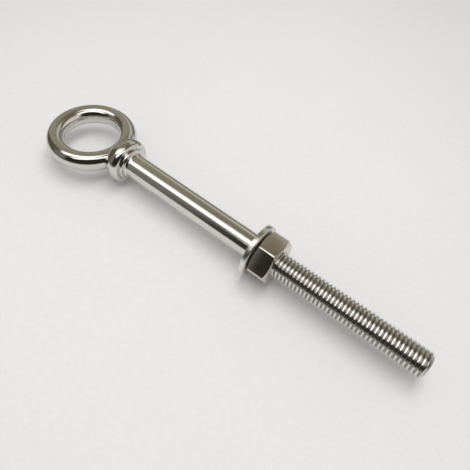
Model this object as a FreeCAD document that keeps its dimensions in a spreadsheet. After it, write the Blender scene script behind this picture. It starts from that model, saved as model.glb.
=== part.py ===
"""Collared eye bolt with a long plain shank, an M10 x 1.5 thread, one flat washer and one hexagon nut.

Millimetres.  The origin is the centre of the eye, +X runs down the shank to the threaded
tip, and the eye lies in the XY plane with +Z along the axis of its hole.
"""
import FreeCAD
import Part
import Sketcher
import os

Vector = FreeCAD.Vector
FULL_TURN = 360.0
LEAST_CUT = 0.5  # mm3 that a cut has to remove
doc = FreeCAD.newDocument("eye_bolt_assembly")

# ---------------------------------------------------------------- driving dimensions
DRIVING_DIMENSIONS = [
    ("eye_radius", 14.75, "centre of the eye to the middle of its section"),
    ("eye_section_width", 7.2, "section of the eye in the plane of the eye"),
    ("eye_section_height", 8.1, "section of the eye along the axis of its hole"),
    ("collar_back", 16.2, "back of the collar, partly buried in the eye"),
    ("collar_face", 23.1, "seat of the collar, which clamps the work"),
    ("collar_dia", 18.4, "outside of the collar"),
    ("collar_back_round", 2.8, "round between the collar's back and rim"),
    ("collar_edge_round", 1.5, "round between the collar's rim and seat"),
    ("hub_dia", 13.6, "low step that stands on the seat"),
    ("hub_end", 24.2, "end of that step"),
    ("hub_round", 0.6, "round on the step"),
    ("shank_root_round", 1.2, "blend from the step into the shank"),
    ("shank_dia", 9.8, "plain shank, and the crests of the thread"),
    ("tip", 154.1, "end of the bolt"),
    ("tip_chamfer", 1.1, "45 degree lead-in on the end"),
    ("thread_start", 87.4, "first groove of the thread"),
    ("thread_pitch", 1.5, "M10 coarse"),
    ("pitch_dia", 9.026, "pitch diameter of M10 x 1.5"),
    ("bolt_root_dia", 8.16, "bottom of the bolt's groove"),
    ("groove_mouth_dia", 10.0, "the groove's cutter ends just outside the crests"),
    ("flank_gap", 0.1, "axial play on each flank of the thread"),
    ("nut_place", 88.14, "inner face of the nut"),
    ("nut_height", 8.0, "thickness of the nut"),
    ("nut_flats", 16.8, "across flats"),
    ("nut_turn", -4.4, "degrees the hexagon is turned as it stands"),
    ("nut_corner_round", 1.0, "round on the hexagon's corners"),
    ("nut_chamfer_dia", 16.0, "where the 30 degree corner chamfer meets a face"),
    ("nut_bore", 8.5, "crests of the nut's thread"),
    ("nut_root_dia", 10.04, "bottom of the nut's groove"),
    ("nut_cutter_dia", 8.2, "the groove's cutter starts inside the bore"),
    ("nut_countersink", 0.9, "45 degree lead-in of the nut's thread"),
    ("washer_place", 85.87, "inner face of the washer"),
    ("washer_thickness", 2.0, "thickness of the washer"),
    ("washer_dia", 20.6, "outside of the washer"),
    ("washer_bore", 10.5, "hole of the washer"),
    ("washer_round", 0.7, "rolled-over rim on the punch side"),
]
dims = doc.addObject("Spreadsheet::Sheet", "Dims")
for row, (alias, value, meaning) in enumerate(DRIVING_DIMENSIONS, start=1):
    dims.set(f"A{row}", alias)
    dims.set(f"B{row}", str(value))
    dims.set(f"C{row}", meaning)
    dims.setAlias(f"B{row}", alias)
doc.recompute()


def dim(alias):
    """Value of a driving dimension."""
    return float(dims.get(alias))


# ---------------------------------------------------------------- helpers
def new_body(label):
    body = doc.addObject("PartDesign::Body", label)
    body.Label = label
    return body


def new_sketch(body, name, plane):
    """Empty sketch on one of the body's own origin planes."""
    sketch = body.newObject("Sketcher::SketchObject", name)
    support = [item for item in body.Origin.OriginFeatures if item.Role == plane][0]
    sketch.AttachmentSupport = [(support, "")]
    sketch.MapMode = "FlatFace"
    return sketch


def bind_point(sketch, line, end, across, up):
    """Hold one end of a line at (across, up), two expressions of the sheet; "0" is an axis."""
    if across == "0":
        sketch.addConstraint(Sketcher.Constraint("PointOnObject", line, end, -2))
    else:
        value = sketch.evalExpression(across)
        number = sketch.addConstraint(Sketcher.Constraint("DistanceX", -1, 1, line, end, value))
        sketch.setExpression(f"Constraints[{number}]", across)
    if up == "0":
        sketch.addConstraint(Sketcher.Constraint("PointOnObject", line, end, -1))
    else:
        value = sketch.evalExpression(up)
        number = sketch.addConstraint(Sketcher.Constraint("DistanceY", -1, 1, line, end, value))
        sketch.setExpression(f"Constraints[{number}]", up)


def outline(sketch, corners):
    """Closed outline of straight lines through corners given as pairs of expressions."""
    places = []
    for across, up in corners:
        places.append(Vector(float(sketch.evalExpression(across)), float(sketch.evalExpression(up)), 0))
    count = len(corners)
    for index in range(count):
        sketch.addGeometry(Part.LineSegment(places[index], places[(index + 1) % count]), False)
    for index in range(count):
        sketch.addConstraint(Sketcher.Constraint("Coincident", index, 2, (index + 1) % count, 1))
    for index, (across, up) in enumerate(corners):
        bind_point(sketch, index, 1, across, up)


def revolve(body, name, sketch, axis="H_Axis"):
    """Solid of revolution about an axis of the sketch."""
    feature = body.newObject("PartDesign::Revolution", name)
    feature.Profile = sketch
    feature.ReferenceAxis = (sketch, [axis])
    feature.Angle = FULL_TURN
    doc.recompute()
    return feature


def groove_all_round(body, name, sketch):
    """Cut of revolution about the sketch's horizontal axis, which has to remove something."""
    before = body.Shape.Volume
    feature = body.newObject("PartDesign::Groove", name)
    feature.Profile = sketch
    feature.ReferenceAxis = (sketch, ["H_Axis"])
    feature.Angle = FULL_TURN
    doc.recompute()
    if body.Shape.Volume > before - LEAST_CUT:
        raise RuntimeError(f"{name} cut nothing")
    return feature


def helical_groove(body, name, sketch, length):
    """Right-hand thread groove along +X, swept from the sketch for a length given as an expression."""
    before = body.Shape.Volume
    feature = body.newObject("PartDesign::SubtractiveHelix", name)
    feature.Profile = sketch
    feature.ReferenceAxis = (sketch, ["H_Axis"])
    feature.Mode = "pitch-height-angle"
    feature.LeftHanded = False
    feature.Reversed = False
    feature.setExpression("Pitch", "Dims.thread_pitch")
    feature.setExpression("Height", length)
    doc.recompute()
    if body.Shape.Volume > before - LEAST_CUT:
        raise RuntimeError(f"{name} cut nothing")
    return feature


def round_edges(body, name, radius, wanted):
    """Fillet on the edges of the body for which wanted(edge) is true."""
    base = body.Tip
    names = [f"Edge{n}" for n, edge in enumerate(base.Shape.Edges, start=1) if wanted(edge)]
    if not names:
        raise RuntimeError(f"{name} found no edge")
    feature = body.newObject("PartDesign::Fillet", name)
    feature.Base = (base, names)
    feature.setExpression("Radius", radius)
    doc.recompute()
    return feature


def circle_at(x, radius):
    """Test for an edge that is a circle round the X axis at x."""

    def test(edge):
        curve = edge.Curve
        if curve.TypeId != "Part::GeomCircle":
            return False
        return abs(curve.Center.x - x) < 0.01 and abs(curve.Radius - radius) < 0.01

    return test


# ---------------------------------------------------------------- eye bolt
def make_eye_bolt():
    """Forged in one piece: eye, collar, low hub, plain shank and threaded end."""
    body = new_body("eye_bolt")

    profile = new_sketch(body, "BoltProfile", "XY_Plane")
    outline(profile, [
        ("Dims.collar_back", "0"),
        ("Dims.collar_back", "Dims.collar_dia / 2"),
        ("Dims.collar_face", "Dims.collar_dia / 2"),
        ("Dims.collar_face", "Dims.hub_dia / 2"),
        ("Dims.hub_end", "Dims.hub_dia / 2"),
        ("Dims.hub_end", "Dims.shank_dia / 2"),
        ("Dims.tip - Dims.tip_chamfer", "Dims.shank_dia / 2"),
        ("Dims.tip", "Dims.shank_dia / 2 - Dims.tip_chamfer"),
        ("Dims.tip", "0"),
    ])
    revolve(body, "CollarAndShank", profile)

    collar_radius = dim("collar_dia") / 2
    hub_radius = dim("hub_dia") / 2
    round_edges(body, "CollarBack", "Dims.collar_back_round", circle_at(dim("collar_back"), collar_radius))
    round_edges(body, "CollarEdge", "Dims.collar_edge_round", circle_at(dim("collar_face"), collar_radius))
    round_edges(body, "ShankRoot", "Dims.shank_root_round", circle_at(dim("hub_end"), dim("shank_dia") / 2))
    round_edges(body, "HubEdge", "Dims.hub_round", circle_at(dim("hub_end"), hub_radius))

    section = new_sketch(body, "EyeSection", "XZ_Plane")
    middle = Vector(dim("eye_radius"), 0, 0)
    top = middle + Vector(0, dim("eye_section_height") / 2, 0)
    side = middle + Vector(dim("eye_section_width") / 2, 0, 0)
    section.addGeometry(Part.Ellipse(top, side, middle), False)
    section.exposeInternalGeometry(0)
    section.addConstraint(Sketcher.Constraint("Vertical", 1))
    bind_point(section, 0, 3, "Dims.eye_radius", "0")
    for line, size in ((1, "Dims.eye_section_height"), (2, "Dims.eye_section_width")):
        number = section.addConstraint(Sketcher.Constraint("Distance", line, section.evalExpression(size)))
        section.setExpression(f"Constraints[{number}]", size)
    revolve(body, "Eye", section, "V_Axis")

    cutter = new_sketch(body, "BoltGroove", "XY_Plane")
    root_half = groove_half_width("Dims.bolt_root_dia", "+")
    mouth_half = groove_half_width("Dims.groove_mouth_dia", "+")
    outline(cutter, [
        (f"Dims.thread_start - ({mouth_half})", "Dims.groove_mouth_dia / 2"),
        (f"Dims.thread_start - ({root_half})", "Dims.bolt_root_dia / 2"),
        (f"Dims.thread_start + ({root_half})", "Dims.bolt_root_dia / 2"),
        (f"Dims.thread_start + ({mouth_half})", "Dims.groove_mouth_dia / 2"),
    ])
    helical_groove(body, "BoltThread", cutter, "Dims.tip - Dims.thread_start + 1.5 * Dims.thread_pitch")
    return body


def groove_half_width(diameter, opens):
    """Half the width of a 60 degree groove at a diameter; "+" opens outwards, "-" inwards."""
    return (
        f"Dims.thread_pitch / 4 + Dims.flank_gap / 2 {opens} "
        f"({diameter} - Dims.pitch_dia) / 2 * tan(30 deg)"
    )


# ---------------------------------------------------------------- nut
def make_hex_nut():
    """Hexagon nut, drawn with its inner face at X = 0 and then screwed to its place."""
    body = new_body("hex_nut")

    hexagon = new_sketch(body, "Hexagon", "YZ_Plane")
    corner = "Dims.nut_flats / 2 / cos(30 deg)"
    corner_radius = hexagon.evalExpression(corner)
    first_corner = Vector(corner_radius, 0, 0)
    places = [FreeCAD.Rotation(Vector(0, 0, 1), 60 * k).multVec(first_corner) for k in range(6)]
    for k in range(6):
        hexagon.addGeometry(Part.LineSegment(places[k], places[(k + 1) % 6]), False)
    ring = hexagon.addGeometry(Part.Circle(Vector(0, 0, 0), Vector(0, 0, 1), corner_radius), True)
    hexagon.addConstraint(Sketcher.Constraint("Coincident", ring, 3, -1, 1))
    number = hexagon.addConstraint(Sketcher.Constraint("Radius", ring, corner_radius))
    hexagon.setExpression(f"Constraints[{number}]", corner)
    for k in range(6):
        hexagon.addConstraint(Sketcher.Constraint("Coincident", k, 2, (k + 1) % 6, 1))
        hexagon.addConstraint(Sketcher.Constraint("PointOnObject", k, 1, ring))
    for k in range(1, 6):
        hexagon.addConstraint(Sketcher.Constraint("Equal", 0, k))
    hexagon.addConstraint(Sketcher.Constraint("PointOnObject", 0, 1, -1))
    block = body.newObject("PartDesign::Pad", "Block")
    block.Profile = hexagon
    block.setExpression("Length", "Dims.nut_height")
    doc.recompute()

    def along_x(edge):
        return edge.BoundBox.XLength > dim("nut_height") / 2

    round_edges(body, "Corners", "Dims.nut_corner_round", along_x)

    drop = f"({corner} - Dims.nut_chamfer_dia / 2) * tan(30 deg)"
    chamfers = (
        ("InnerChamfer", "0", ""),
        ("OuterChamfer", "Dims.nut_height", "Dims.nut_height - "),
    )
    for name, face, inward in chamfers:
        chamfer = new_sketch(body, name + "Profile", "XY_Plane")
        outline(chamfer, [
            (face, "Dims.nut_chamfer_dia / 2"),
            (f"{inward}{drop}", corner),
            (face, corner),
        ])
        groove_all_round(body, name, chamfer)

    bore = new_sketch(body, "BoreProfile", "XY_Plane")
    mouth = "Dims.nut_bore / 2 + Dims.nut_countersink"
    outline(bore, [
        ("0", "0"),
        ("0", mouth),
        ("Dims.nut_countersink", "Dims.nut_bore / 2"),
        ("Dims.nut_height - Dims.nut_countersink", "Dims.nut_bore / 2"),
        ("Dims.nut_height", mouth),
        ("Dims.nut_height", "0"),
    ])
    groove_all_round(body, "Bore", bore)

    # the groove of the nut has to run over the ridge of the bolt where the nut stands, and the
    # nut is turned there by nut_turn, which moves its groove along the axis
    lead = "Dims.thread_pitch"
    ridge = f"Dims.thread_start + {lead} / 2 - Dims.nut_turn / 360 * {lead} - Dims.nut_place"
    first = f"({ridge}) - floor(({ridge}) / {lead}) * {lead}"
    cutter = new_sketch(body, "NutGroove", "XY_Plane")
    root_half = groove_half_width("Dims.nut_root_dia", "-")
    mouth_half = groove_half_width("Dims.nut_cutter_dia", "-")
    start = f"{first} - 2 * {lead}"
    outline(cutter, [
        (f"{start} - ({mouth_half})", "Dims.nut_cutter_dia / 2"),
        (f"{start} - ({root_half})", "Dims.nut_root_dia / 2"),
        (f"{start} + ({root_half})", "Dims.nut_root_dia / 2"),
        (f"{start} + ({mouth_half})", "Dims.nut_cutter_dia / 2"),
    ])
    helical_groove(body, "NutThread", cutter, "Dims.nut_height + 4 * Dims.thread_pitch")

    spin = FreeCAD.Rotation(Vector(1, 0, 0), dim("nut_turn"))
    body.Placement = FreeCAD.Placement(Vector(dim("nut_place"), 0, 0), spin)
    return body


# ---------------------------------------------------------------- washer
def make_flat_washer():
    """Punched flat washer; the rim on the punch side is slightly rolled over."""
    body = new_body("flat_washer")
    profile = new_sketch(body, "WasherProfile", "XY_Plane")
    outline(profile, [
        ("0", "Dims.washer_bore / 2"),
        ("Dims.washer_thickness", "Dims.washer_bore / 2"),
        ("Dims.washer_thickness", "Dims.washer_dia / 2"),
        ("0", "Dims.washer_dia / 2"),
    ])
    revolve(body, "Disc", profile)
    round_edges(body, "Rim", "Dims.washer_round", circle_at(dim("washer_thickness"), dim("washer_dia") / 2))
    body.Placement = FreeCAD.Placement(Vector(dim("washer_place"), 0, 0), FreeCAD.Rotation())
    return body


# ---------------------------------------------------------------- build, check and write
nodes = [make_eye_bolt(), make_flat_washer(), make_hex_nut()]
doc.recompute()
for item in doc.Objects:
    if "Invalid" in item.State or "Error" in item.State:
        raise RuntimeError(f"{item.Label} failed: {item.State}")
os.makedirs("parts", exist_ok=True)
for node in nodes:
    shape = node.Shape
    if shape.isNull() or not shape.isValid() or len(shape.Solids) != 1:
        raise RuntimeError(f"{node.Label} is not one valid solid")
    shape.exportStep(f"parts/{node.Label}.step")
    print(node.Label, round(shape.Volume, 1), "mm3")
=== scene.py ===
"""Looks of the collared eye bolt with its flat washer and hexagon nut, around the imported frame.

Metres throughout.  +X runs down the shank to the threaded tip, the eye lies in the XY plane
and +Z is the axis of its hole.  Sizes that the frame holds are read from it.
"""
import bmesh
import bpy
import math
from mathutils import Matrix, Vector


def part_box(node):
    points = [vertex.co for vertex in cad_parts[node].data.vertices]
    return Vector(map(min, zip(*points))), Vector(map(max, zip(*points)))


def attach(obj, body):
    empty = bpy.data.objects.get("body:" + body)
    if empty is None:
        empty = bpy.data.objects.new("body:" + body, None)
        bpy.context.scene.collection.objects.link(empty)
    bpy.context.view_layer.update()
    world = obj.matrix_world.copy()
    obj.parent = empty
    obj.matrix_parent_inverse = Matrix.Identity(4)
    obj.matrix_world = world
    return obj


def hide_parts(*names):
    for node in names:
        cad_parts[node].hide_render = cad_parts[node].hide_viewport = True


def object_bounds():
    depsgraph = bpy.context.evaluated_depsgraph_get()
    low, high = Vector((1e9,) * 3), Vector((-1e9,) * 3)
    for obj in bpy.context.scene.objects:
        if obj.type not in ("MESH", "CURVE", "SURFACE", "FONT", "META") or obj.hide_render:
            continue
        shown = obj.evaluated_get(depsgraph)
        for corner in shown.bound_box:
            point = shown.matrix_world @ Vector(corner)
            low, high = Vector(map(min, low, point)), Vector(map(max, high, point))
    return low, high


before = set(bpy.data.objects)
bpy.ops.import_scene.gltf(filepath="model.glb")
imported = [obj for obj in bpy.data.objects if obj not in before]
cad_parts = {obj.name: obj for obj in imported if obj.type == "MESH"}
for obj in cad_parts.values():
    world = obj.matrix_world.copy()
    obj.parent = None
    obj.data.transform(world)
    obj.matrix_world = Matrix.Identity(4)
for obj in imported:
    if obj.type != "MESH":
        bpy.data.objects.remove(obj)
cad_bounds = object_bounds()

MM = 0.001
TURN = 2 * math.pi

# ---------------------------------------------------------------- sizes read from the frame
bolt_low, bolt_high = (Vector(corner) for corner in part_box("eye_bolt"))
washer_low, washer_high = (Vector(corner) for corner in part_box("flat_washer"))
nut_low, nut_high = (Vector(corner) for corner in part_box("hex_nut"))

EYE_OUTSIDE = -bolt_low.x
COLLAR_RADIUS = bolt_high.z
TIP = bolt_high.x
WASHER_RADIUS = washer_high.z
FLOOR_HEIGHT = cad_bounds[0][2]

# ---------------------------------------------------------------- sizes of the finished surfaces
EYE_SECTION_WIDTH = 7.2 * MM
EYE_SECTION_HEIGHT = 8.1 * MM
EYE_STEPS = 200
EYE_SECTION_STEPS = 64

COLLAR_BACK = 16.2 * MM
COLLAR_FACE = 23.1 * MM
COLLAR_CROWN = 20.4 * MM
COLLAR_BACK_ROUND = 2.8 * MM
COLLAR_EDGE_ROUND = 1.5 * MM
HUB_RADIUS = 6.8 * MM
HUB_END = 24.2 * MM
HUB_ROUND = 0.6 * MM
SHANK_ROOT_ROUND = 1.2 * MM
SHANK_RADIUS = 4.9 * MM
RIM_STEPS = 14
SEGMENTS = 72

THREAD_PITCH = 1.5 * MM
THREAD_PHASE = 87.4 * MM
THREAD_START = THREAD_PHASE - THREAD_PITCH / 2
THREAD_RUN_OUT = 1.2 * MM
THREAD_SMOOTH_FROM = 0.2 * MM
TIP_RIM = 0.01 * MM
BOLT_ROOT_RADIUS = 4.08 * MM
TIP_CHAMFER = 1.1 * MM
ROWS_PER_PITCH = 16
BOLT_CREST_SHARE = 0.38   # of a pitch, wider than a standard crest
BOLT_FLANK_END = 0.90     # where the flank reaches the root

NUT_FLATS = 16.8 * MM
NUT_TURN = math.radians(-4.4)
NUT_CORNER_ROUND = 1.0 * MM
NUT_CHAMFER_RADIUS = 8.0 * MM
NUT_EDGE_SOFTENING = 0.12 * MM
NUT_BORE_RADIUS = 4.25 * MM
NUT_ROOT_RADIUS = 5.02 * MM
NUT_COUNTERSINK = 0.9 * MM
NUT_GROOVE_SHARE = 0.44   # clears the bolt's wide crest
NUT_FLANK_END = 0.97
NUT_FACE_BORDER = 0.5 * MM
NUT_CORNER_STEPS = 8
NUT_FLAT_STEPS = 4

WASHER_BORE_RADIUS = 5.25 * MM
WASHER_PUNCH_ROUND = 0.7 * MM
WASHER_DIE_ROUND = 0.12 * MM
WASHER_SEGMENTS = 144

SAME_POINT = 1e-7
SAME_PLANE = 1e-6


# ---------------------------------------------------------------- small helpers
def new_object(name, mesh):
    obj = bpy.data.objects.new(name, mesh)
    bpy.context.scene.collection.objects.link(obj)
    return obj


def mesh_from(name, points, faces):
    mesh = bpy.data.meshes.new(name)
    mesh.from_pydata(points, [], faces)
    mesh.validate()
    return mesh


def around(x, radius, angle):
    """Point on a circle round the shank's axis; angle 0 is +Y and it turns towards +Z."""
    return (x, radius * math.cos(angle), radius * math.sin(angle))


def turned(profile, segments):
    """Points and faces of a profile (x, radius) turned round the shank's axis."""
    points = []
    for x, radius in profile:
        points += [around(x, radius, TURN * k / segments) for k in range(segments)]
    faces = []
    for row in range(len(profile) - 1):
        for k in range(segments):
            after = (k + 1) % segments
            low, high = row * segments, (row + 1) * segments
            faces.append((low + k, low + after, high + after, high + k))
    return points, faces


def welded(name, meshes, distance=SAME_POINT):
    """One mesh from several whose borders meet point on point, with outward normals."""
    bm = bmesh.new()
    for mesh in meshes:
        bm.from_mesh(mesh)
    bmesh.ops.remove_doubles(bm, verts=bm.verts, dist=distance)
    bmesh.ops.dissolve_degenerate(bm, edges=bm.edges, dist=distance)
    bmesh.ops.recalc_face_normals(bm, faces=bm.faces)
    result = bpy.data.meshes.new(name)
    bm.to_mesh(result)
    bm.free()
    return result


def border_at(bm, x):
    """Open edges that lie in the plane at x."""
    return [edge for edge in bm.edges
            if edge.is_boundary and all(abs(v.co.x - x) < SAME_PLANE for v in edge.verts)]


def cap(mesh, x):
    """Close the open border that lies in the plane at x."""
    bm = bmesh.new()
    bm.from_mesh(mesh)
    bmesh.ops.holes_fill(bm, edges=border_at(bm, x), sides=0)
    bmesh.ops.recalc_face_normals(bm, faces=bm.faces)
    bm.to_mesh(mesh)
    bm.free()


def finish_piece(name, mesh, body, node, material, sharp_degrees=32):
    """Shade, paint and hand a finished mesh to its body."""
    mesh.name = name
    mesh.materials.clear()
    mesh.materials.append(material)
    for polygon in mesh.polygons:
        polygon.use_smooth = True
        polygon.material_index = 0
    mesh.set_sharp_from_angle(angle=math.radians(sharp_degrees))
    piece = new_object(name, mesh)
    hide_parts(node)
    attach(piece, body)
    return piece


# ---------------------------------------------------------------- helical thread (Geometry Nodes)
THREAD_SIZES = {
    "Phase": 0.0, "Pitch": 0.0015, "Low": 0.0, "High": 0.01,
    "Valley Radius": 0.004, "Peak Radius": 0.005, "Low Radius": 0.005, "High Radius": 0.004,
    "Run Out": 1e-6, "Peak Share": 0.125, "Valley Share": 0.75, "Outside": 1.0,
}
THREAD_COUNTS = {"Pitches": 10, "Rows": 16, "Segments": 72}


def thread_tree():
    """A threaded surface round the X axis, as a grid whose rows follow the helix.

    The grid is sheared by one pitch per turn, so its two long borders meet, and rows that
    would pass Low or High stop there.  Outside is 1 for a bolt and -1 for a nut: it says
    which side of the end cones is kept.
    """
    tree = bpy.data.node_groups.new("helical_thread", "GeometryNodeTree")
    face = tree.interface
    for name, value in THREAD_COUNTS.items():
        face.new_socket(name, in_out="INPUT", socket_type="NodeSocketInt").default_value = value
    for name, value in THREAD_SIZES.items():
        face.new_socket(name, in_out="INPUT", socket_type="NodeSocketFloat").default_value = value
    face.new_socket("Material", in_out="INPUT", socket_type="NodeSocketMaterial")
    face.new_socket("Geometry", in_out="OUTPUT", socket_type="NodeSocketGeometry")
    given = tree.nodes.new("NodeGroupInput").outputs

    def math_node(operation, *values):
        node = tree.nodes.new("ShaderNodeMath")
        node.operation = operation
        for socket, value in zip(node.inputs, values):
            if isinstance(value, (int, float)):
                socket.default_value = value
            else:
                tree.links.new(value, socket)
        return node.outputs[0]

    length = math_node("MULTIPLY", given["Pitches"], given["Pitch"])
    grid = tree.nodes.new("GeometryNodeMeshGrid")
    tree.links.new(length, grid.inputs["Size X"])
    grid.inputs["Size Y"].default_value = TURN
    rows = math_node("MULTIPLY_ADD", given["Pitches"], given["Rows"], 1)
    tree.links.new(rows, grid.inputs["Vertices X"])
    tree.links.new(math_node("ADD", given["Segments"], 1), grid.inputs["Vertices Y"])

    place = tree.nodes.new("GeometryNodeInputPosition")
    split = tree.nodes.new("ShaderNodeSeparateXYZ")
    tree.links.new(place.outputs[0], split.inputs[0])
    along = math_node("MULTIPLY_ADD", length, 0.5, split.outputs["X"])
    angle = math_node("ADD", split.outputs["Y"], math.pi)

    advance = math_node("MULTIPLY", math_node("DIVIDE", angle, TURN), given["Pitch"])
    free = math_node("ADD", math_node("ADD", given["Phase"], along), advance)
    free = math_node("SUBTRACT", free, math_node("MULTIPLY", given["Pitch"], 2))
    stopped = math_node("MINIMUM", math_node("MAXIMUM", free, given["Low"]), given["High"])

    # 1 over a valley, 0 over the flat of a peak, straight between them; the small shift
    # keeps every row that falls on a whole pitch on the same side of it
    beat = math_node("FRACT", math_node("ADD", math_node("DIVIDE", along, given["Pitch"]), 1e-5))
    from_peak = math_node("ABSOLUTE", math_node("MULTIPLY_ADD", beat, 2, -1))
    flank = tree.nodes.new("ShaderNodeMapRange")
    tree.links.new(from_peak, flank.inputs["Value"])
    tree.links.new(given["Peak Share"], flank.inputs["From Min"])
    tree.links.new(given["Valley Share"], flank.inputs["From Max"])
    fade = tree.nodes.new("ShaderNodeMapRange")
    fade.interpolation_type = "SMOOTHSTEP"
    tree.links.new(stopped, fade.inputs["Value"])
    tree.links.new(given["Low"], fade.inputs["From Min"])
    tree.links.new(math_node("ADD", given["Low"], given["Run Out"]), fade.inputs["From Max"])
    depth = math_node("MULTIPLY", flank.outputs["Result"], fade.outputs["Result"])
    height = math_node("SUBTRACT", given["Valley Radius"], given["Peak Radius"])
    threaded = math_node("MULTIPLY_ADD", height, depth, given["Peak Radius"])

    # end cones at 45 degrees
    side = given["Outside"]
    from_high = math_node("MULTIPLY", side, math_node("SUBTRACT", given["High"], stopped))
    from_low = math_node("MULTIPLY", side, math_node("SUBTRACT", stopped, given["Low"]))
    signed = math_node("MULTIPLY", side, threaded)
    for edge, distance in (("High Radius", from_high), ("Low Radius", from_low)):
        cone = math_node("MULTIPLY", side, math_node("ADD", given[edge], distance))
        signed = math_node("MINIMUM", signed, cone)
    radius = math_node("MULTIPLY", side, signed)

    join = tree.nodes.new("ShaderNodeCombineXYZ")
    tree.links.new(stopped, join.inputs["X"])
    tree.links.new(math_node("MULTIPLY", radius, math_node("COSINE", angle)), join.inputs["Y"])
    tree.links.new(math_node("MULTIPLY", radius, math_node("SINE", angle)), join.inputs["Z"])
    move = tree.nodes.new("GeometryNodeSetPosition")
    tree.links.new(grid.outputs["Mesh"], move.inputs["Geometry"])
    tree.links.new(join.outputs[0], move.inputs["Position"])
    weld = tree.nodes.new("GeometryNodeMergeByDistance")
    weld.inputs["Distance"].default_value = SAME_POINT
    tree.links.new(move.outputs["Geometry"], weld.inputs["Geometry"])
    real = tree.nodes.new("GeometryNodeRealizeInstances")
    tree.links.new(weld.outputs["Geometry"], real.inputs["Geometry"])
    paint = tree.nodes.new("GeometryNodeSetMaterial")
    tree.links.new(real.outputs["Geometry"], paint.inputs["Geometry"])
    tree.links.new(given["Material"], paint.inputs["Material"])
    tree.links.new(paint.outputs["Geometry"], tree.nodes.new("NodeGroupOutput").inputs["Geometry"])
    return tree


def thread_mesh(tree, name, material, **sizes):
    """Plain mesh of a thread; the sizes are the tree's inputs, with _ for a space."""
    carrier = new_object(name, bpy.data.meshes.new(name))
    modifier = carrier.modifiers.new("thread", "NODES")
    modifier.node_group = tree
    wanted = {key.replace("_", " "): value for key, value in sizes.items()}
    wanted["Material"] = material
    for item in tree.interface.items_tree:
        if item.in_out == "INPUT" and item.name in wanted:
            modifier[item.identifier] = wanted[item.name]
    carrier.update_tag()
    bpy.context.view_layer.update()
    evaluated = carrier.evaluated_get(bpy.context.evaluated_depsgraph_get())
    mesh = bpy.data.meshes.new_from_object(evaluated)
    bpy.data.objects.remove(carrier)
    return mesh


# ---------------------------------------------------------------- node helpers and finishes
def node(tree, kind, inputs=None, **settings):
    """Add a node; a socket in inputs is linked, anything else is set on the node's own input."""
    made = tree.nodes.new(kind)
    for key, value in settings.items():
        setattr(made, key, value)
    for key, value in (inputs or {}).items():
        if isinstance(value, bpy.types.NodeSocket):
            tree.links.new(value, made.inputs[key])
        else:
            made.inputs[key].default_value = value
    return made


def sum_of(tree, *terms):
    """Add (socket, weight) pairs and plain numbers."""
    total = sum(term for term in terms if isinstance(term, (int, float)))
    for term in terms:
        if isinstance(term, tuple):
            total = node(tree, "ShaderNodeMath", {0: term[0], 1: term[1], 2: total},
                         operation="MULTIPLY_ADD").outputs[0]
    return total


def stretched_noise(tree, coords, stretch, turn=(0, 0, 0), detail=3.0, rough=0.6):
    """Noise whose features are 1/stretch metres long on each axis."""
    mapping = node(tree, "ShaderNodeMapping",
                   {"Vector": coords, "Rotation": turn, "Scale": stretch})
    return node(tree, "ShaderNodeTexNoise", {"Vector": mapping.outputs[0], "Scale": 1.0,
                                             "Detail": detail, "Roughness": rough}).outputs["Fac"]


def ramp(tree, value, low, high):
    """Smooth step from 0 where value is low to 1 where it is high."""
    return node(tree, "ShaderNodeMapRange", {"Value": value, "From Min": low, "From Max": high},
                interpolation_type="SMOOTHSTEP").outputs["Result"]


def mixed(tree, share, first, second):
    """Colour from first, at share 0, to second, at share 1; each is a colour or a socket."""
    blend = node(tree, "ShaderNodeMix", {0: share}, data_type="RGBA")
    for socket, value in ((blend.inputs[6], first), (blend.inputs[7], second)):
        if isinstance(value, bpy.types.NodeSocket):
            tree.links.new(value, socket)
        else:
            socket.default_value = (*value, 1.0)
    return blend.outputs[2]


def calculated(tree, operation, *values):
    """Result of one Math node."""
    return node(tree, "ShaderNodeMath", dict(enumerate(values)), operation=operation).outputs[0]


def size_of(tree, value):
    return calculated(tree, "ABSOLUTE", value)


def times(tree, first, second):
    return calculated(tree, "MULTIPLY", first, second)


def run_and_reach(tree, coords):
    """Distance along the shank's axis, and distance from it."""
    split = node(tree, "ShaderNodeSeparateXYZ", {"Vector": coords})
    flat = node(tree, "ShaderNodeCombineXYZ", {"Y": split.outputs["Y"], "Z": split.outputs["Z"]})
    reach = node(tree, "ShaderNodeVectorMath", {0: flat.outputs[0]}, operation="LENGTH")
    return split.outputs["X"], reach.outputs["Value"]


def steel_start(name):
    """New steel material: its tree, its shader and the piece's own coordinates."""
    material = bpy.data.materials.new(name)
    material.use_nodes = True
    tree = material.node_tree
    shader = tree.nodes["Principled BSDF"]
    shader.inputs["Metallic"].default_value = 1.0
    coords = node(tree, "ShaderNodeTexCoord").outputs["Object"]
    return material, tree, shader, coords


def steel_end(tree, shader, colour, roughness, height, depth):
    """Link colour and roughness, and a bump of the given depth in metres."""
    tree.links.new(colour, shader.inputs["Base Color"])
    tree.links.new(roughness, shader.inputs["Roughness"])
    bump = node(tree, "ShaderNodeBump", {"Height": height, "Distance": depth, "Strength": 1.0})
    tree.links.new(bump.outputs["Normal"], shader.inputs["Normal"])


def fine_scratches(tree, coords, turn, stretch, width=0.012):
    """Thin curved lines, 1 on a scratch, where a stretched noise crosses its middle value."""
    field = stretched_noise(tree, coords, stretch, turn, detail=1.0, rough=0.4)
    off_middle = size_of(tree, sum_of(tree, (field, 1.0), -0.5))
    line = ramp(tree, off_middle, width, 0.0)
    patch = ramp(tree, stretched_noise(tree, coords, (210, 210, 210), turn), 0.52, 0.62)
    return times(tree, line, patch)


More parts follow.
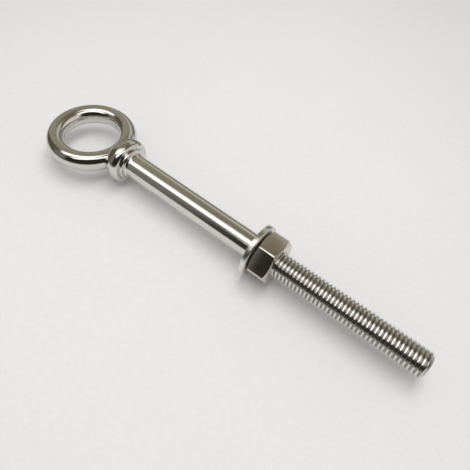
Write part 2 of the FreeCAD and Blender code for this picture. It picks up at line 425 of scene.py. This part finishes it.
BOLT_DARK = (0.50, 0.485, 0.455)
BOLT_LIGHT = (0.76, 0.745, 0.715)
# painted shade: the colour of the thread's valleys, darker than the steel around them
VALLEY_PAINTED_SHADE = (0.48, 0.465, 0.44)
VALLEY_MOUTH = 4.82 * MM
VALLEY_DEEP = 4.35 * MM
BOLT_BUMP = 0.004 * MM
NUT_DARK = (0.50, 0.46, 0.41)
NUT_LIGHT = (0.75, 0.705, 0.655)
NUT_BUMP = 0.006 * MM
WASHER_DARK = (0.52, 0.51, 0.49)
WASHER_LIGHT = (0.80, 0.79, 0.77)
WASHER_BUMP = 0.008 * MM


def polished_bolt_steel():
    """Buffed stainless steel: drawn lines along the shank, cloudier in the thread's valleys, which also
    carry painted shade.
    """
    material, tree, shader, coords = steel_start("polished_bolt_steel")
    along, from_axis = run_and_reach(tree, coords)
    on_shank = ramp(tree, along, HUB_END, HUB_END + 2 * MM)
    on_thread = ramp(tree, along, THREAD_START, THREAD_START + 0.5 * MM)
    valley = times(tree, ramp(tree, from_axis, VALLEY_MOUTH, VALLEY_DEEP), on_thread)

    cloud = stretched_noise(tree, coords, (110, 140, 140))
    peel = stretched_noise(tree, coords, (1900, 1900, 1900), detail=4.0)
    drawn = times(tree, stretched_noise(tree, coords, (70, 4200, 4200), detail=2.0), on_shank)
    scratch = sum_of(tree, (fine_scratches(tree, coords, (0.3, 0.5, 0.9), (900, 70, 240)), 1.0),
                     (fine_scratches(tree, coords, (1.1, 0.2, 2.2), (1100, 60, 260)), 1.0))
    tone = sum_of(tree, (cloud, 0.5), (peel, 0.2), (drawn, 0.35), 0.25)
    roughness = sum_of(tree, (cloud, 0.08), (drawn, 0.07), (peel, 0.04), (scratch, 0.12),
                       (valley, 0.04), 0.04)
    height = sum_of(tree, (peel, 0.35), (drawn, 0.5), (scratch, -0.6))
    # painted shade: the thread's valleys are painted darker than the crests
    unshaded = mixed(tree, tone, BOLT_DARK, BOLT_LIGHT)
    steel_end(tree, shader, mixed(tree, valley, unshaded, VALLEY_PAINTED_SHADE), roughness, height, BOLT_BUMP)
    return material


def nut_steel():
    """Cold-formed, lightly tumbled nut: finer grain on the flats, brighter rubbed corners, painted
    shade towards the bore.
    """
    material, tree, shader, coords = steel_start("nut_steel")
    cloud = stretched_noise(tree, coords, (230, 230, 230))
    grain = stretched_noise(tree, coords, (2600, 3300, 3300), detail=4.0)
    drawn = stretched_noise(tree, coords, (350, 3600, 3600), detail=2.0)
    scratch = fine_scratches(tree, coords, (0.7, 0.4, 0.3), (700, 160, 300), width=0.02)
    _, from_axis = run_and_reach(tree, coords)
    rubbed = ramp(tree, from_axis, 9.2 * MM, 9.5 * MM)
    # painted shade: the tone darkens towards the bore, where the nut closes round the bolt; the bore is
    # rougher there too
    bore_shade = ramp(tree, from_axis, 5.2 * MM, 4.6 * MM)
    tone = sum_of(tree, (cloud, 0.45), (grain, 0.3), (rubbed, 0.35), (bore_shade, -0.5), 0.1)
    roughness = sum_of(tree, (cloud, 0.10), (grain, 0.08), (drawn, 0.05), (scratch, 0.1),
                       (rubbed, -0.05), (bore_shade, 0.12), 0.05)
    height = sum_of(tree, (grain, 0.5), (drawn, 0.35), (scratch, -0.5))
    colour = mixed(tree, tone, NUT_DARK, NUT_LIGHT)
    steel_end(tree, shader, colour, roughness, height, NUT_BUMP)
    return material


def washer_steel():
    """Stamped sheet: satin faces with rolling lines one way, a brighter burnished rim."""
    material, tree, shader, coords = steel_start("washer_steel")
    cloud = stretched_noise(tree, coords, (180, 180, 180))
    grain = stretched_noise(tree, coords, (2400, 2400, 2400), detail=4.0)
    rolled = stretched_noise(tree, coords, (900, 130, 5200), turn=(0.5, 0, 0), detail=2.0)
    scratch = fine_scratches(tree, coords, (0.9, 0.0, 0.0), (300, 90, 900), width=0.02)
    _, from_axis = run_and_reach(tree, coords)
    rim = ramp(tree, from_axis, 9.9 * MM, 10.2 * MM)
    tone = sum_of(tree, (cloud, 0.4), (grain, 0.25), (rolled, 0.3), (rim, 0.15), 0.1)
    roughness = sum_of(tree, (cloud, 0.10), (grain, 0.08), (rolled, 0.10), (scratch, 0.1),
                       (rim, -0.08), 0.20)
    height = sum_of(tree, (grain, 0.5), (rolled, 0.6), (scratch, -0.6))
    colour = mixed(tree, tone, WASHER_DARK, WASHER_LIGHT)
    steel_end(tree, shader, colour, roughness, height, WASHER_BUMP)
    return material


# ---------------------------------------------------------------- pieces
def rounded(corners, steps=6, closed=False):
    """Points of a line through corners (a, b, round), each corner replaced by an arc of its round."""
    points = []
    count = len(corners)
    for index, (a, b, radius) in enumerate(corners):
        here = Vector((a, b))
        at_end = not closed and index in (0, count - 1)
        if radius <= 0 or at_end:
            points.append(here)
            continue
        back = (Vector(corners[index - 1][:2]) - here).normalized()
        ahead = (Vector(corners[(index + 1) % count][:2]) - here).normalized()
        half = back.angle(ahead) / 2
        centre = here + (back + ahead).normalized() * radius / math.sin(half)
        first = here + back * radius / math.tan(half) - centre
        sweep = first.angle_signed(here + ahead * radius / math.tan(half) - centre)
        for step in range(steps + 1):
            spoke = first.copy()
            spoke.rotate(Matrix.Rotation(-sweep * step / steps, 2))
            points.append(centre + spoke)
    return [(point.x, point.y) for point in points]


def eye_ring_mesh():
    """Closed ring of oval section, lying in the XY plane round the Z axis."""
    half_width = EYE_SECTION_WIDTH / 2
    half_height = EYE_SECTION_HEIGHT / 2
    middle = EYE_OUTSIDE - half_width
    points = []
    for i in range(EYE_STEPS):
        bearing = TURN * (i + 0.5) / EYE_STEPS
        for j in range(EYE_SECTION_STEPS):
            angle = TURN * j / EYE_SECTION_STEPS
            reach = middle + half_width * math.cos(angle)
            rise = half_height * math.sin(angle)
            points.append((reach * math.cos(bearing), reach * math.sin(bearing), rise))
    faces = []
    for i in range(EYE_STEPS):
        near, far = i * EYE_SECTION_STEPS, (i + 1) % EYE_STEPS * EYE_SECTION_STEPS
        for j in range(EYE_SECTION_STEPS):
            after = (j + 1) % EYE_SECTION_STEPS
            faces.append((near + j, far + j, far + after, near + after))
    return welded("eye_ring", [mesh_from("eye_ring", points, faces)])


def collar_and_shank_mesh():
    """Turned part from the collar's back to where the thread starts, closed at both ends."""
    rim = []
    for reach, drop, first in ((COLLAR_CROWN - COLLAR_BACK, COLLAR_BACK_ROUND, -90),
                               (COLLAR_FACE - COLLAR_CROWN, COLLAR_EDGE_ROUND, 0)):
        for step in range(RIM_STEPS + 1):
            angle = math.radians(first + 90 * step / RIM_STEPS)
            fall = drop * (1 - math.cos(angle))
            rim.append((COLLAR_CROWN + reach * math.sin(angle), COLLAR_RADIUS - fall, 0))
    line = rounded(rim[:RIM_STEPS] + rim[RIM_STEPS + 1:] + [
        (COLLAR_FACE, HUB_RADIUS, 0),
        (HUB_END, HUB_RADIUS, HUB_ROUND),
        (HUB_END, SHANK_RADIUS, SHANK_ROOT_ROUND),
        (THREAD_START, SHANK_RADIUS, 0),
    ], steps=9)
    mesh = mesh_from("collar_and_shank", *turned(line, SEGMENTS))
    cap(mesh, COLLAR_BACK)
    cap(mesh, THREAD_START)
    return welded("collar_and_shank", [mesh])


def united(first, second):
    """One closed mesh of two that run into each other."""
    body = new_object("body", first)
    tool = new_object("tool", second)
    join = body.modifiers.new("join", "BOOLEAN")
    join.operation = "UNION"
    join.solver = "EXACT"
    join.object = tool
    bpy.context.view_layer.update()
    evaluated = body.evaluated_get(bpy.context.evaluated_depsgraph_get())
    mesh = bpy.data.meshes.new_from_object(evaluated)
    bpy.data.objects.remove(body)
    bpy.data.objects.remove(tool)
    return mesh


def open_end(mesh, x):
    """Take away the flat face that closes a mesh in the plane at x."""
    bm = bmesh.new()
    bm.from_mesh(mesh)
    lids = [face for face in bm.faces if all(abs(v.co.x - x) < SAME_PLANE for v in face.verts)]
    bmesh.ops.delete(bm, geom=lids, context="FACES_ONLY")
    bm.to_mesh(mesh)
    bm.free()


def make_eye_bolt(tree):
    steel = polished_bolt_steel()
    head = united(collar_and_shank_mesh(), eye_ring_mesh())
    open_end(head, THREAD_START)
    pitches = math.ceil((TIP - THREAD_PHASE) / THREAD_PITCH) + 3
    thread = thread_mesh(
        tree, "bolt_thread", steel, Phase=THREAD_PHASE, Pitch=THREAD_PITCH, Low=THREAD_START, High=TIP,
        Valley_Radius=BOLT_ROOT_RADIUS, Peak_Radius=SHANK_RADIUS, Low_Radius=SHANK_RADIUS,
        High_Radius=SHANK_RADIUS - TIP_CHAMFER, Run_Out=THREAD_RUN_OUT,
        Peak_Share=BOLT_CREST_SHARE, Valley_Share=BOLT_FLANK_END, Outside=1.0,
        Pitches=pitches, Rows=ROWS_PER_PITCH, Segments=SEGMENTS)
    cap(thread, TIP)
    mesh = welded("eye_bolt_steel", [head, thread])
    piece = finish_piece("eye_bolt_steel", mesh, "bolt", "eye_bolt", steel)
    # the thread is shaded smooth all along; the rim of the tip stays sharp
    low, high = THREAD_START + THREAD_SMOOTH_FROM, TIP - TIP_RIM
    for edge in mesh.edges:
        if all(low < mesh.vertices[index].co.x < high for index in edge.vertices):
            edge.use_edge_sharp = False
    return piece


def nut_outside_mesh():
    """Six flats with rounded corners, both ends turned to a 30 degree cone."""
    corner_reach = NUT_FLATS / 2 / math.cos(math.pi / 6)
    hexagon = []
    for k in range(6):
        angle = NUT_TURN + k * math.pi / 3
        y, z = corner_reach * math.cos(angle), corner_reach * math.sin(angle)
        hexagon.append((y, z, NUT_CORNER_ROUND))
    arcs = rounded(hexagon, steps=NUT_CORNER_STEPS, closed=True)
    outline = []
    for index, point in enumerate(arcs):
        outline.append(point)
        if index % (NUT_CORNER_STEPS + 1) == NUT_CORNER_STEPS:
            after = arcs[(index + 1) % len(arcs)]
            for step in range(1, NUT_FLAT_STEPS):
                share = step / NUT_FLAT_STEPS
                outline.append(tuple(Vector(point).lerp(Vector(after), share)))
    low, high = nut_low.x, nut_high.x
    points = []
    for y, z in outline:
        reach = math.hypot(y, z)
        rise = (reach - NUT_CHAMFER_RADIUS) * math.tan(math.pi / 6)
        line = rounded([
            (low, NUT_CHAMFER_RADIUS - NUT_FACE_BORDER, 0),
            (low, NUT_CHAMFER_RADIUS, NUT_EDGE_SOFTENING),
            (low + rise, reach, NUT_EDGE_SOFTENING),
            (high - rise, reach, NUT_EDGE_SOFTENING),
            (high, NUT_CHAMFER_RADIUS, NUT_EDGE_SOFTENING),
            (high, NUT_CHAMFER_RADIUS - NUT_FACE_BORDER, 0),
        ], steps=3)
        points += [(x, r * y / reach, r * z / reach) for x, r in line]
    rows = len(points) // len(outline)
    faces = []
    for index in range(len(outline)):
        here, there = index * rows, (index + 1) % len(outline) * rows
        for row in range(rows - 1):
            faces.append((here + row, there + row, there + row + 1, here + row + 1))
    return mesh_from("nut_outside", points, faces)


def make_hex_nut(tree):
    steel = nut_steel()
    low, high = nut_low.x, nut_high.x
    pitches = math.ceil((high - low) / THREAD_PITCH) + 4
    phase = THREAD_PHASE + THREAD_PITCH * math.floor((low - THREAD_PHASE) / THREAD_PITCH)
    mouth = NUT_BORE_RADIUS + NUT_COUNTERSINK
    thread = thread_mesh(
        tree, "nut_thread", steel, Phase=phase, Pitch=THREAD_PITCH, Low=low, High=high,
        Valley_Radius=NUT_BORE_RADIUS, Peak_Radius=NUT_ROOT_RADIUS, Low_Radius=mouth, High_Radius=mouth,
        Peak_Share=NUT_GROOVE_SHARE, Valley_Share=NUT_FLANK_END, Outside=-1.0,
        Pitches=pitches, Rows=ROWS_PER_PITCH, Segments=SEGMENTS)
    bm = bmesh.new()
    bm.from_mesh(thread)
    bm.from_mesh(nut_outside_mesh())
    bmesh.ops.remove_doubles(bm, verts=bm.verts, dist=SAME_POINT)
    for x in (low, high):
        bmesh.ops.bridge_loops(bm, edges=border_at(bm, x))
    bmesh.ops.recalc_face_normals(bm, faces=bm.faces)
    mesh = bpy.data.meshes.new("hex_nut_steel")
    bm.to_mesh(mesh)
    bm.free()
    return finish_piece("hex_nut_steel", mesh, "nut", "hex_nut", steel)


def make_flat_washer():
    low, high = washer_low.x, washer_high.x
    loop = rounded([
        (low, WASHER_BORE_RADIUS, WASHER_DIE_ROUND),
        (low, WASHER_RADIUS, WASHER_DIE_ROUND),
        (high, WASHER_RADIUS, WASHER_PUNCH_ROUND),
        (high, WASHER_BORE_RADIUS, WASHER_PUNCH_ROUND),
    ], steps=6, closed=True)
    surface = mesh_from("washer", *turned(loop + loop[:1], WASHER_SEGMENTS))
    mesh = welded("flat_washer_steel", [surface])
    return finish_piece("flat_washer_steel", mesh, "washer", "flat_washer",
                        washer_steel())


# ---------------------------------------------------------------- camera, floor and light
CAMERA_PLACE = Vector((126.768, -86.613, 132.440)) * MM
CAMERA_AIM = Vector((76.454, -0.157, 0.0)) * MM
CAMERA_ROLL = math.radians(9.596)
CAMERA_LENS = 34.468
CAMERA_SENSOR = 36.0
CAMERA_NEAREST = 0.005
CAMERA_FURTHEST = 20.0


def make_camera():
    data = bpy.data.cameras.new("camera")
    data.lens = CAMERA_LENS
    data.sensor_width = CAMERA_SENSOR
    data.clip_start = CAMERA_NEAREST
    data.clip_end = CAMERA_FURTHEST
    camera = new_object("camera", data)
    facing = (CAMERA_AIM - CAMERA_PLACE).to_track_quat("-Z", "Y").to_matrix().to_4x4()
    turn = Matrix.Rotation(CAMERA_ROLL, 4, "Z")
    camera.matrix_world = Matrix.Translation(CAMERA_PLACE) @ facing @ turn
    bpy.context.scene.camera = camera
    return camera


FLOOR_HALF = 3.0
FLOOR_DARK = (0.70, 0.695, 0.69)
FLOOR_LIGHT = (0.83, 0.825, 0.82)
# painted reflection: the floor's colour for glossy rays outside the pale sheet round the bolt; the
# camera sees it pale
PAINTED_DARK_REFLECTION = (0.12, 0.112, 0.085)
SHEET_HALF_LENGTH = 0.12
SHEET_HALF_WIDTH = 0.075
SHEET_OFFSET = -0.6            # in half lengths, so its middle is 72 mm along the bolt
SHEET_EDGE = (0.95, 1.6)       # in half lengths and half widths


def make_floor():
    """Pale fibrous floor; in reflections alone it darkens away from the bolt."""
    half = FLOOR_HALF
    points = [(-half, -half, FLOOR_HEIGHT), (half, -half, FLOOR_HEIGHT),
              (half, half, FLOOR_HEIGHT), (-half, half, FLOOR_HEIGHT)]
    mesh = mesh_from("floor", points, [(0, 1, 2, 3)])
    material = bpy.data.materials.new("pale_floor")
    material.use_nodes = True
    tree = material.node_tree
    shader = tree.nodes["Principled BSDF"]
    coords = node(tree, "ShaderNodeTexCoord").outputs["Object"]
    cloud = stretched_noise(tree, coords, (9, 9, 9))
    fibre = stretched_noise(tree, coords, (420, 700, 500), detail=4.0)
    pale = mixed(tree, sum_of(tree, (cloud, 0.4), (fibre, 0.6)), FLOOR_DARK, FLOOR_LIGHT)
    sheet = node(tree, "ShaderNodeMapping", {
        "Vector": coords, "Location": (SHEET_OFFSET, 0.0, 0.0),
        "Scale": (1 / SHEET_HALF_LENGTH, 1 / SHEET_HALF_WIDTH, 0.0)})
    out = node(tree, "ShaderNodeVectorMath", {0: sheet.outputs[0]}, operation="LENGTH")
    # painted reflection: only glossy rays see the floor dark outside the sheet's ellipse
    mirrored = node(tree, "ShaderNodeLightPath").outputs["Is Glossy Ray"]
    painted_dark_share = times(tree, ramp(tree, out.outputs["Value"], *SHEET_EDGE), mirrored)
    tree.links.new(mixed(tree, painted_dark_share, pale, PAINTED_DARK_REFLECTION), shader.inputs["Base Color"])
    shader.inputs["Roughness"].default_value = 0.8
    shader.inputs["Specular IOR Level"].default_value = 0.1
    mesh.materials.append(material)
    floor = new_object("floor", mesh)
    return floor


# the room as the steel mirrors it, on an imagined ceiling one unit up: linear colours
WINDOW_ACROSS = (-0.95, -0.65, 0.12, 0.35)
WINDOW_AWAY = (-0.64, -0.42, -0.12, 0.26)
WINDOW_LEAN = 0.5
SLANT_CENTRE = (0.35, -0.52)
SLANT_ALONG = (-0.66, -0.75)
SLANT_HALF_WIDTH = (0.26, 0.12)
SLANT_HALF_LENGTH = (1.00, 0.70)
WINDOW_GLOW = (1.90, 1.88, 1.84)
FAR_LEFT = (0.35, 0.325, 0.255)
FAR_RIGHT = (0.19, 0.155, 0.10)
FAR_PALE = (0.60, 0.575, 0.50)
FAR_LOW = (0.27, 0.25, 0.21)
NEAR_LEFT = (0.12, 0.100, 0.080)
NEAR_MIDDLE = (0.215, 0.20, 0.18)
NEAR_RIGHT = (0.024, 0.023, 0.018)
RIGHT_WALL = (0.85, 0.835, 0.80)
EVEN_WORLD = (0.62, 0.615, 0.613)
HORIZON_GUARD = 0.04


def band(tree, value, edges):
    """1 between the two middle edges, 0 outside the outer ones."""
    start, full, fading, end = edges
    return times(tree, ramp(tree, value, start, full), ramp(tree, value, end, fading))


def make_room():
    """World: glossy rays see a window, a slanted bright strip and walls; other rays an even grey."""
    world = bpy.data.worlds.new("room")
    world.use_nodes = True
    bpy.context.scene.world = world
    tree = world.node_tree
    tree.nodes.clear()
    coords = node(tree, "ShaderNodeTexCoord").outputs["Generated"]
    split = node(tree, "ShaderNodeSeparateXYZ", {"Vector": coords})
    up = calculated(tree, "MAXIMUM", split.outputs["Z"], HORIZON_GUARD)
    across = calculated(tree, "DIVIDE", split.outputs["X"], up)
    away = calculated(tree, "DIVIDE", split.outputs["Y"], up)

    leant = sum_of(tree, (across, -WINDOW_LEAN), (away, 1.0))
    pane = times(tree, band(tree, across, WINDOW_ACROSS), band(tree, leant, WINDOW_AWAY))
    ax, ay = SLANT_ALONG
    cx, cy = SLANT_CENTRE
    along = sum_of(tree, (across, ax), (away, ay), -cx * ax - cy * ay)
    beside = sum_of(tree, (across, -ay), (away, ax), cx * ay - cy * ax)
    slant = times(tree, ramp(tree, size_of(tree, beside), *SLANT_HALF_WIDTH),
                  ramp(tree, size_of(tree, along), *SLANT_HALF_LENGTH))
    window = calculated(tree, "MAXIMUM", pane, slant)

    bearing = calculated(tree, "DIVIDE", across, away)
    near = mixed(tree, ramp(tree, bearing, 0.24, 0.52), NEAR_RIGHT, NEAR_MIDDLE)
    near = mixed(tree, ramp(tree, bearing, 0.9, 1.6), near, NEAR_LEFT)
    streak = times(tree, ramp(tree, sum_of(tree, (away, 1.0), (across, 0.55)), 0.75, 1.15),
                   ramp(tree, across, 0.40, 0.05))
    far = mixed(tree, ramp(tree, across, -1.0, 0.15), FAR_LEFT, FAR_RIGHT)
    far = mixed(tree, streak, far, FAR_PALE)
    far = mixed(tree, ramp(tree, away, 2.3, 4.0), far, FAR_LOW)
    far = mixed(tree, ramp(tree, across, 0.85, 1.40), far, RIGHT_WALL)
    room = mixed(tree, ramp(tree, away, -0.45, 0.05), near, far)
    room = mixed(tree, window, room, WINDOW_GLOW)
    even = node(tree, "ShaderNodeBackground", {"Color": (*EVEN_WORLD, 1.0), "Strength": 1.0})
    lit = node(tree, "ShaderNodeBackground", {"Color": room, "Strength": 1.0})
    mirrored = node(tree, "ShaderNodeLightPath").outputs["Is Glossy Ray"]
    mix = node(tree, "ShaderNodeMixShader", {0: mirrored, 1: even.outputs[0], 2: lit.outputs[0]})
    node(tree, "ShaderNodeOutputWorld", {"Surface": mix.outputs[0]})


SOFTBOX_PLACE = Vector((0.075, 0.01, 0.40))
SOFTBOX_LENGTH = 0.40
SOFTBOX_WIDTH = 0.15
SOFTBOX_ENERGY = 0.95


def make_softbox():
    """Softbox overhead, aimed at the eye; the steel mirrors the room instead of it."""
    data = bpy.data.lights.new("softbox", "AREA")
    data.shape = "RECTANGLE"
    data.size = SOFTBOX_LENGTH
    data.size_y = SOFTBOX_WIDTH
    data.energy = SOFTBOX_ENERGY
    data.color = (1.0, 0.995, 0.985)
    box = new_object("softbox", data)
    facing = (-SOFTBOX_PLACE).to_track_quat("-Z", "Y").to_matrix().to_4x4()
    box.matrix_world = Matrix.Translation(SOFTBOX_PLACE) @ facing
    box.visible_glossy = False
    return box


bpy.context.scene.view_settings.view_transform = "Standard"
make_camera()
make_floor()
make_room()
make_softbox()
helical_thread = thread_tree()
make_eye_bolt(helical_thread)
make_hex_nut(helical_thread)
make_flat_washer()
